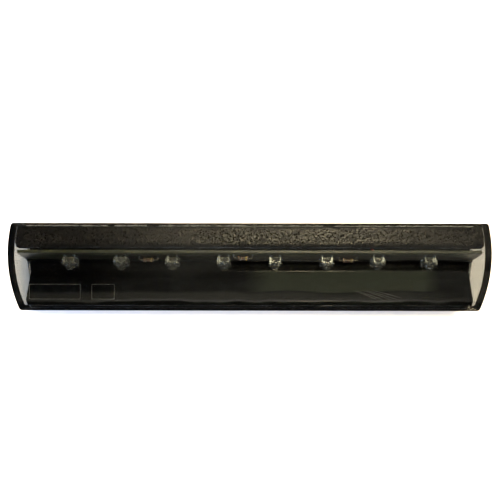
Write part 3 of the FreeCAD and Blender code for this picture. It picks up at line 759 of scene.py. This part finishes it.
def make_led(count, middle_x):
    """LED: drafted square block, one clipped corner, a flat shoulder and a round dome.

    The dome is r cos a wide at r sin a above the block; its foot spreads in a small fillet.
    """
    front = LED_LIFT + LED_DEPTH
    rings = [(3.5, 9, LED_LIFT), (3.78, 9, LED_LIFT + 0.18), (3.80, 9, LED_LIFT + 0.6),
             (3.72, 9, front - 0.3), (3.66, 9, front - 0.1), (3.5, 8, front),
             (3.0, 3, front), (2.78, 2, front + 0.02), (2.6, 2, front + 0.12)]
    rings += [(DOME * math.cos(a), 2, front + 0.1 + (DOME - 0.1) * math.sin(a))
              for a in np.linspace(0.1, math.pi / 2 - 0.04, 12)]
    outlines = []
    for half, power, out in rings:
        ring = square_ring(half, power)
        reach = ring.sum(axis=1)
        clip = 2 * half - 1.0
        ring = np.where((reach > clip)[:, None] & (power > 2.5), ring * (clip / reach)[:, None], ring)
        outlines.append((ring, out))
    shell(f"led_{count}_epoxy", out_of_board((middle_x, 0), outlines), MATERIALS["clear_epoxy"],
          slot="clear_epoxy", replaces=(f"led_{count}",), sharp=50)
    floor = PLATE_OUT + PLATE_THICK
    cup = [(square_ring(r, 2, 24), floor + lift) for r, lift in (
        (1.25, -0.35), (1.35, 0.55), (1.2, 0.62), (0.75, 0.12))]
    chip = [(block(0.5, 0.5), floor + lift) for lift in (0.1, 0.35)]
    shells(f"led_{count}_cup", [out_of_board((middle_x, 0), cup), out_of_board((middle_x, 0), chip)],
           MATERIALS["tinned_copper"], slot="tinned_copper")
    share = np.linspace(0, 1, 14)
    bond = np.column_stack([-1.6 * share, 0 * share, floor + 0.35 - 0.3 * share
                            + 1.0 * np.sin(math.pi * share)])
    ring = square_ring(0.06, 2, 6)
    wire = np.stack([on_board(middle_x + x + ring[:, 0] * 0.7, ring[:, 1], out + ring[:, 0] * 0.7)
                     for x, _, out in bond])
    shell(f"led_{count}_bond_wire", wire, MATERIALS["brass"], slot="brass")


def holes():
    """Every leg and wire through the board as (across, up, solder radius)."""
    spots = [(x + side * LEG, level * LEG, 0.95) for x in LED_X
             for side in (-1, 1) for level in (-1, 1)]
    for count in (1, 2, 3):
        low, high = box_mm(f"resistor_{count}_wires")
        middle = resistor_place(count)
        spots += [(x, middle[1], 0.75) for x in (low[0] + 0.3, high[0] - 0.3)]
    return spots


def resistor_place(count):
    """Across, up and out of a resistor's middle, from its CAD box."""
    across, y, z = middle_mm(f"resistor_{count}")
    up = (y - ROW_Y) * math.sin(LEAN) + (z - ROW_Z) * math.cos(LEAN)
    out = -(y - ROW_Y) * math.cos(LEAN) + (z - ROW_Z) * math.sin(LEAN)
    return across, up, out


def make_board():
    """Board with softly broken edges, round pads, and solder drawn up each leg like a cone."""
    long = BOARD_HIGH[0] - BOARD_LOW[0]
    high = (BOARD_HIGH[2] - BOARD_LOW[2] - BOARD_THICK * math.sin(LEAN)) / math.cos(LEAN)
    middle = (0, high / 2 - BOARD_BELOW)
    rings = [(rounded(block(long - 2 * edge, high - 2 * edge), 1.0, 5), out) for edge, out in (
        (0.08, 0.0), (0.0, -0.08), (0.0, 0.08 - BOARD_THICK), (0.08, -BOARD_THICK))]
    shell("board_shell", out_of_board(middle, rings), MATERIALS["fibreglass"],
          slot="fibreglass", replaces=("circuit_board",), sharp=50)
    pads, joints = [], []
    for across, up, radius in holes():
        for face, sign in ((0.0, 1), (-BOARD_THICK, -1)):
            pad = square_ring(radius, 2, 16) * (1, 1.5) + (0, 0.4 * math.copysign(radius, up))
            pads.append(out_of_board((across, up), [(pad, face - sign * 0.05),
                                                    (pad, face + sign * 0.04)]))
            joints.append(out_of_board((across, up), [
                (square_ring(radius * share, 2, 12), face + sign * lift)
                for share, lift in ((0.95, 0.03), (0.85, 0.16), (0.55, 0.4), (0.4, 0.75))]))
    shells("board_pads", pads, MATERIALS["tinned_copper"], slot="tinned_copper")
    shells("solder_joints", joints, MATERIALS["tinned_copper"], slot="tinned_copper")


def make_resistor(count):
    """Resistor turned from a dog-bone section, with colour bands, and its two bent wires.

    Radius is the waist plus a smooth swelling over each cap; a vertex colour marks the bands.
    """
    across, up, out = resistor_place(count)
    half, waist, swell = 3.1, 1.02, 0.22
    x = np.linspace(-half, half, 63)
    nearer = half - np.abs(x)
    radius = waist + swell * np.clip(1.9 - nearer, 0, 0.5) * 2
    radius *= np.sqrt(np.clip(nearer / 0.5, 0.06, 1) * (2 - np.clip(nearer / 0.5, 0.06, 1)))
    turn = np.arange(20) * 2 * math.pi / 20
    rings = on_board(across + x[:, None] + 0 * turn, up + radius[:, None] * np.cos(turn),
                     out + radius[:, None] * np.sin(turn))
    body = shell(f"resistor_{count}_body", rings, MATERIALS["resistor_coat"],
                 slot="resistor_coat", replaces=(f"resistor_{count}",))
    colours = np.tile(srgb("#463e33"), (len(x), 1))
    for place, tint in ((-2.2, "#3c2013"), (-1.2, "#15120f"), (-0.2, "#4a1610"), (1.6, "#80703c")):
        colours[np.abs(x - place) < 0.28] = srgb(tint)
    layer = body.data.color_attributes.new("bands", "FLOAT_COLOR", "POINT")
    layer.data.foreach_set("color", np.repeat(colours, len(turn), axis=0).ravel())
    stacks = []
    for side in (-1, 1):
        bend, run = 0.8, half + 1.2
        arc = np.linspace(0, math.pi / 2, 6)
        path = np.concatenate([[(half - 0.2, out)], np.column_stack([
            run + bend * np.sin(arc), out - bend + bend * np.cos(arc)]),
            [(run + bend, -BOARD_THICK - 0.7)]])
        wire = square_ring(0.29, 2, 10)
        stacks.append(np.stack([on_board(
            across + side * (p[0] + wire[:, 0] * d[1]), up + wire[:, 1], p[1] - wire[:, 0] * d[0])
            for p, d in zip(path, heading(path))]))
    shells(f"resistor_{count}_lead_wires", stacks, MATERIALS["oxidised_tin"],
           slot="tinned_copper", replaces=(f"resistor_{count}_wires",))


def make_lens_marks():
    """Two plain raised frames moulded inside the face, half-round in section, and a few fine
    scratches: thin slivers that run slantwise and narrow to their ends."""
    top = FACE_INSIDE - 0.02
    for count, (middle, long) in enumerate(((-104.0, 27.5), (-78.2, 12.4)), start=1):
        rings = []
        for inset, drop in ((0, 0), (0.04, 0.12), (0.15, 0.2), (0.26, 0.12), (0.3, 0)):
            flat = rounded(block(long - 2 * inset, 8.2 - 2 * inset) + (middle, -13.4), 0.5, 4)
            rings.append(at_height(flat, top - drop))
        shell(f"lens_frame_{count}", rings, MATERIALS["frosted_acrylic"], closed=True)
    stacks = []
    for start, run, fall in ((55.5, 13.0, 5.0), (57.0, 15.5, 5.4), (60.5, 15.0, 4.9),
                             (62.5, 17.0, 5.0), (66.0, 15.5, 4.0)):
        share = np.linspace(0, 1, 9)
        wide = 0.03 + 0.07 * np.sin(math.pi * share)
        x, y = start + run * share, -12.7 - fall * share ** 1.2
        stacks.append([[(a, b - w, top), (a, b + w, top), (a, b, top - w)]
                       for a, b, w in zip(x, y, wide)])
    shells("lens_scratches", stacks, MATERIALS["frosted_acrylic"])


def make_screw(count):
    """Visor screw from below: pan head with a square recess, then a threaded shank.

    Thread radius is core + depth times a triangle wave of height less turn times the pitch.
    """
    low, high = box_mm(f"visor_screw_{count}")
    x, y = middle_mm(f"visor_screw_{count}")[:2]
    head_top, pitch = GASKET_TOP, 1.1
    rings = [at_height(square_ring(0.95, 12) + (x, y), low[2] + 0.8),
             at_height(square_ring(1.1, 12) + (x, y), low[2] + 0.03),
             at_height(square_ring(1.2, 9) + (x, y), low[2]),
             at_height(square_ring(2.2, 2) + (x, y), low[2] + 0.02),
             at_height(square_ring(2.75, 2) + (x, y), low[2] + 0.22),
             at_height(square_ring(2.95, 2) + (x, y), low[2] + 0.6),
             at_height(square_ring(2.98, 2) + (x, y), head_top - 0.02)]
    turn = (np.arange(48) + 0.5) / 48
    for z in np.arange(head_top, high[2], 0.15):
        wave = np.abs(((z / pitch - turn) % 1) * 2 - 1)
        radius = (1.05 + 0.38 * wave)[:, None] if z < high[2] - 1 else np.full((48, 1), 0.7)
        rings.append(at_height(square_ring(1, 2) * radius + (x, y), z))
    shell(f"visor_screw_{count}_steel", rings, MATERIALS["zinc_steel"], slot="zinc_steel",
          replaces=(f"visor_screw_{count}",))


def make_insert(side, name):
    """Brass insert: knurled outside, coarse thread inside, both as waves of the radius."""
    low, high = box_mm(name)
    x, y = middle_mm(name)[:2]
    points, knurls, pitch = 96, 24, 0.8
    turn = np.arange(points) / points
    circle = np.column_stack([np.cos(2 * math.pi * turn), np.sin(2 * math.pi * turn)])
    outer = 3.12 + 0.06 * np.sign(np.sin(2 * math.pi * turn * knurls))
    rings = [at_height(circle * 3.0 + (x, y), low[2]),
             at_height(circle * outer[:, None] + (x, y), low[2] + 0.3),
             at_height(circle * outer[:, None] + (x, y), high[2] - 0.3),
             at_height(circle * 3.0 + (x, y), high[2])]
    for z in np.arange(high[2], low[2] + 0.45, -0.1):
        wave = np.abs(((z / pitch - turn) % 1) * 2 - 1)
        rings.append(at_height(circle * (2.5 + 0.35 * wave)[:, None] + (x, y), z))
    rings.append(at_height(circle * 2.85 + (x, y), low[2]))
    shell(f"insert_{side}", rings, MATERIALS["brass"], slot="brass", closed=True,
          replaces=(name,))


def make_inlet():
    """Plug socket with a softened mouth and a collar, and two blades with tapered tips."""
    low, high = box_mm("inlet_socket")
    middle = middle_mm("inlet_socket")[:2]
    size, wall, roof, corner = np.array([19.0, 11.6]), 1.7, 1.8, 0.6
    collar, foot, brim = 0.79, FLANGE_TOP + 0.8, FLANGE_TOP + 2.0
    steps = [(wall + 0.2, high[2] - roof), (wall, high[2] - roof - 0.2), (wall, low[2] + 0.4),
             (wall - 0.35, low[2]), (0.25, low[2]), (0.0, low[2] + 0.25), (0.0, foot),
             (-collar, foot), (-collar, brim), (0.0, brim), (0.0, high[2] - 0.2), (0.2, high[2])]
    rings = [at_height(rounded(block(*(size - 2 * inset)) + middle, corner, 4), z)
             for inset, z in steps]
    shell("socket_shell", rings, MATERIALS["black_abs"], slot="black_abs",
          replaces=("inlet_socket",))
    for pole in ("negative", "positive"):
        low, high = box_mm(f"inlet_blade_{pole}")
        centre = middle_mm(f"inlet_blade_{pole}")[:2]
        rings = []
        for thick, wide, z in ((0.3, 4.6, low[2]), (0.45, 5.0, low[2] + 0.25),
                               (0.8, 6.3, low[2] + 1.6), (0.8, 6.3, high[2] - 0.3),
                               (0.5, 5.9, high[2])):
            rings.append(at_height(rounded(block(thick, wide) + centre, 0.08, 3), z))
        shell(f"blade_{pole}", rings, MATERIALS["tinned_copper"], slot="tinned_copper",
              replaces=(f"inlet_blade_{pole}",))


def make_stage():
    """Plain pale floor with a faint glow, cool on the left and warm on the right."""
    mesh = bpy.data.meshes.new("floor")
    half = 3.0
    mesh.from_pydata([(-half, -half, 0), (half, -half, 0), (half, half, 0), (-half, half, 0)], [],
                     [(0, 1, 2, 3)])
    made, tree, shader, where = material("pale_floor", Base_Color=srgb("#f4f4f4"), Roughness=0.9,
                                         Specular_IOR_Level=0.0, Emission_Strength=0.5)
    split = add(tree, "SeparateXYZ", {"Vector": where})
    glow = blend(tree, spread(tree, split.outputs["X"], -0.14, 0.14, 0.0, 1.0),
                 srgb("#a6bde2"), srgb("#857b6a"))
    drive(tree, shader, "Emission Color", glow)
    mesh.materials.append(made)
    floor = bpy.data.objects.new("floor", mesh)
    bpy.context.scene.collection.objects.link(floor)


def lamp_light(name, place, target, size, energy, colour):
    """Soft rectangular light aimed at a point."""
    data = bpy.data.lights.new(name, "AREA")
    data.shape = "RECTANGLE"
    data.size, data.size_y = size
    data.energy = energy
    data.color = srgb(colour)[:3]
    light = bpy.data.objects.new(name, data)
    direction = np.array(target, float) - np.array(place, float)
    flat = math.hypot(direction[0], direction[1])
    light.location = place
    light.rotation_euler = (math.atan2(flat, -direction[2]), 0,
                            math.atan2(direction[1], direction[0]) - math.pi / 2)
    bpy.context.scene.collection.objects.link(light)


def make_lights():
    """Low soft boxes all round for a white floor, a warm one above for the visor's grain."""
    size, middle = (1.2, 0.6), (0, 0, 0)
    for name, place, energy, colour in (
            ("left", (-1.7, 0.0, 0.55), 26, "#c0d8ff"), ("right", (1.7, 0.0, 0.55), 10, "#ffeccf"),
            ("upper", (0.0, 1.6, 0.8), 30, "#fffaf2"), ("lower", (0.0, -1.6, 0.8), 26, "#f6f8ff")):
        lamp_light(name, place, middle, size, energy, colour)
    lamp_light("warm", (0.18, 0.42, 1.2), (0.03, 0.01, 0), (0.16, 0.14), 40, "#ffe6bc")


def times(tree, first, second):
    """Product of two numbers."""
    return add(tree, "Math", {0: first, 1: second}, operation="MULTIPLY").outputs[0]


def window(tree, source, start, full, fade, end):
    """1 between full and fade, 0 outside start and end."""
    return times(tree, spread(tree, source, start, full, 0.0, 1.0),
                 spread(tree, source, fade, end, 1.0, 0.0))


def make_world():
    """Room overhead that the flat faces mirror: dark on the left, clouded grey on the right.

    A direction's place is x / z across and y / z up.  Each window lays one colour over part of
    it, later ones on top, and below the last of them the room is black.
    """
    world = bpy.data.worlds.new("studio")
    world.use_nodes = True
    tree = world.node_tree
    direction = add(tree, "TexCoord").outputs["Generated"]
    split = add(tree, "SeparateXYZ", {"Vector": direction})
    across, up = (add(tree, "Math", {0: split.outputs[axis], 1: split.outputs["Z"]},
                      operation="DIVIDE").outputs[0] for axis in "XY")
    stretched = add(tree, "Mapping", {"Vector": direction, "Scale": (3.0, 16.0, 0.0)})
    cloud = add(tree, "TexNoise", {"Vector": stretched.outputs[0], "Scale": 1.6, "Detail": 3.0})
    colour = blend(tree, spread(tree, across, -0.3, -0.12, 0.0, 1.0), srgb("#0a0c12"),
                   srgb("#7d7b70"))
    colour = blend(tree, spread(tree, cloud.outputs[0], 0.4, 0.6, 0.5, 0.0), colour,
                   srgb("#0a0a0a"))
    for reach, height, tint in (
            ((-0.06, -0.03, 0.5, 0.6), (-0.042, -0.039, -0.022, -0.018), "#030303"),
            ((-0.01, 0.04, 0.33, 0.358), (-0.079, -0.077, -0.042, -0.038), "#b4b893"),
            ((-0.75, -0.02, 0.3, 0.4), (-0.1, -0.097, -0.084, -0.078), "#9c9988"),
            ((-0.5, -0.1, 0.3, 0.42), (-0.0975, -0.0965, -0.0945, -0.093), "#cbc8ba")):
        shape = times(tree, window(tree, across, *reach), window(tree, up, *height))
        colour = blend(tree, shape, colour, srgb(tint))
    below = spread(tree, up, -0.0985, -0.097, 1.0, 0.0)
    colour = blend(tree, below, colour, srgb("#000000"))
    tree.links.new(colour, tree.nodes["Background"].inputs["Color"])
    bpy.context.scene.world = world


def make_camera():
    """Straight above the face, as wide as the lamp needs, with the lamp a little low."""
    data = bpy.data.cameras.new("camera")
    data.sensor_width = 36
    data.lens = 38.0
    camera = bpy.data.objects.new("camera", data)
    middle_y = (cad_box[0][1] + cad_box[1][1]) / 2
    aside, above, away, turned = 0.15 * MM, 9.0 * MM, 280 * MM, math.radians(0.11)
    camera.location = (aside, middle_y + above, cad_box[1][2] + away)
    camera.rotation_euler = (0, 0, turned)
    bpy.context.scene.collection.objects.link(camera)
    bpy.context.scene.camera = camera
    bpy.context.scene.view_settings.view_transform = "Standard"


dress_frame()
make_lens()
make_lens_marks()
make_sealant()
make_visor()
make_reflector()
make_board()
for number, place in enumerate(LED_X, start=1):
    make_led(number, place)
    make_leads(number, place)
for number in (1, 2, 3):
    make_resistor(number)
    make_screw(number)
make_insert("left", "threaded_insert_left")
make_insert("right", "threaded_insert_right")
make_inlet()
make_stage()
make_lights()
make_world()
make_camera()
